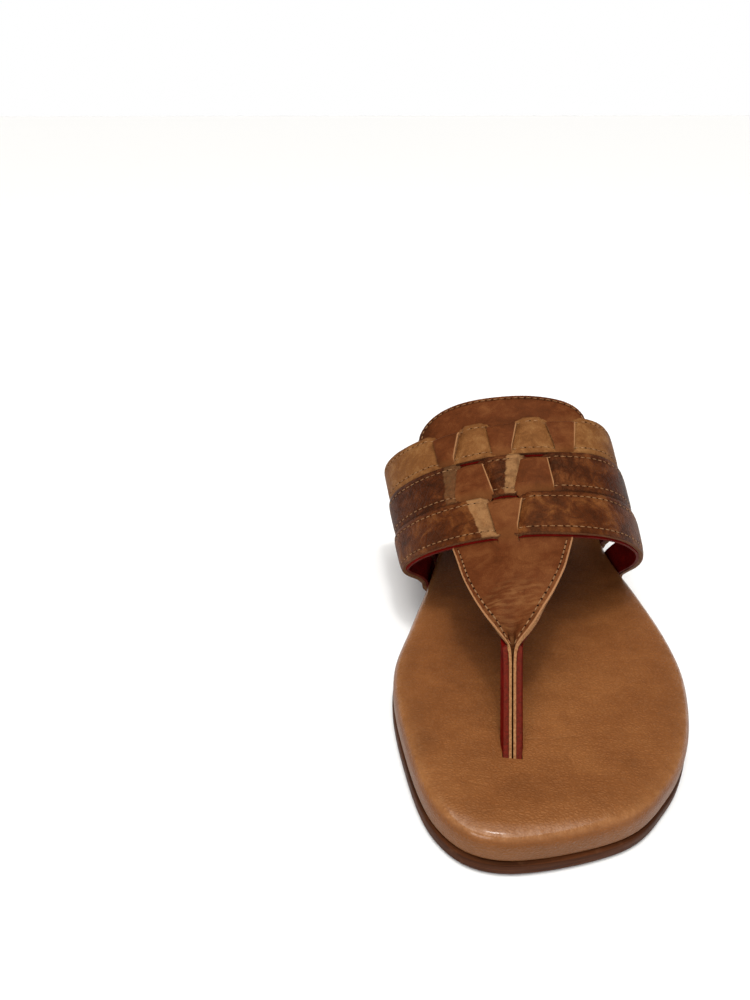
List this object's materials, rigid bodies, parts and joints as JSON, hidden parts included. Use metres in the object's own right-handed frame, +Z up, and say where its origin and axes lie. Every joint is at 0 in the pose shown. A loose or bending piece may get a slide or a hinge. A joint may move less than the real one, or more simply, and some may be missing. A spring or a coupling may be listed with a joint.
{
  "type": "leather toe-post sandal",
  "caption": "Flat leather flip flop for a left foot: padded footbed, folded toe post, and a slit vamp panel woven through lined straps.",
  "frame": {"origin": "middle of the sandal's bounding box in plan, on the surface it stands on", "axes": "+Z up, +Y from the toe to the heel, +X to the little-toe side (it is a left-foot sandal)"},
  "size_m": [0.1048, 0.262, 0.073],
  "materials": {
    "outsole": "matte dark brown, fine horizontal scuffs on the cut edge",
    "heel_block": "stacked leather, dark stained",
    "steel": "plain steel",
    "board": "pressed fibre board",
    "foam": "open-cell latex foam",
    "footbed_leather": "smooth tan leather, satin, worn lighter at the rim",
    "panel_leather": "smooth pull-up leather, reddish brown, lighter where bent",
    "red_lining": "dark red lining leather, matte",
    "front_strap_leather": "grained mid brown leather, satin",
    "middle_strap_leather": "crumpled-grain dark brown leather, satin",
    "rear_strap_leather": "pale tan leather, dry and slightly scuffed"
  },
  "bodies": {
    "root": {"outsole": "outsole", "heel_top_lift": "outsole", "heel_block": "heel_block", "heel_nail_1": "steel", "heel_nail_2": "steel", "heel_nail_3": "steel", "heel_nail_4": "steel", "steel_shank": "steel", "bottom_filler": "board", "insole_board": "board", "foam_cushion": "foam", "footbed_cover": "footbed_leather", "vamp_panel": "panel_leather", "vamp_lining": "red_lining", "front_strap": "front_strap_leather", "front_strap_lining": "red_lining", "middle_strap": "middle_strap_leather", "middle_strap_lining": "red_lining", "rear_strap": "rear_strap_leather", "rear_strap_lining": "red_lining"}
  },
  "joints": []
}
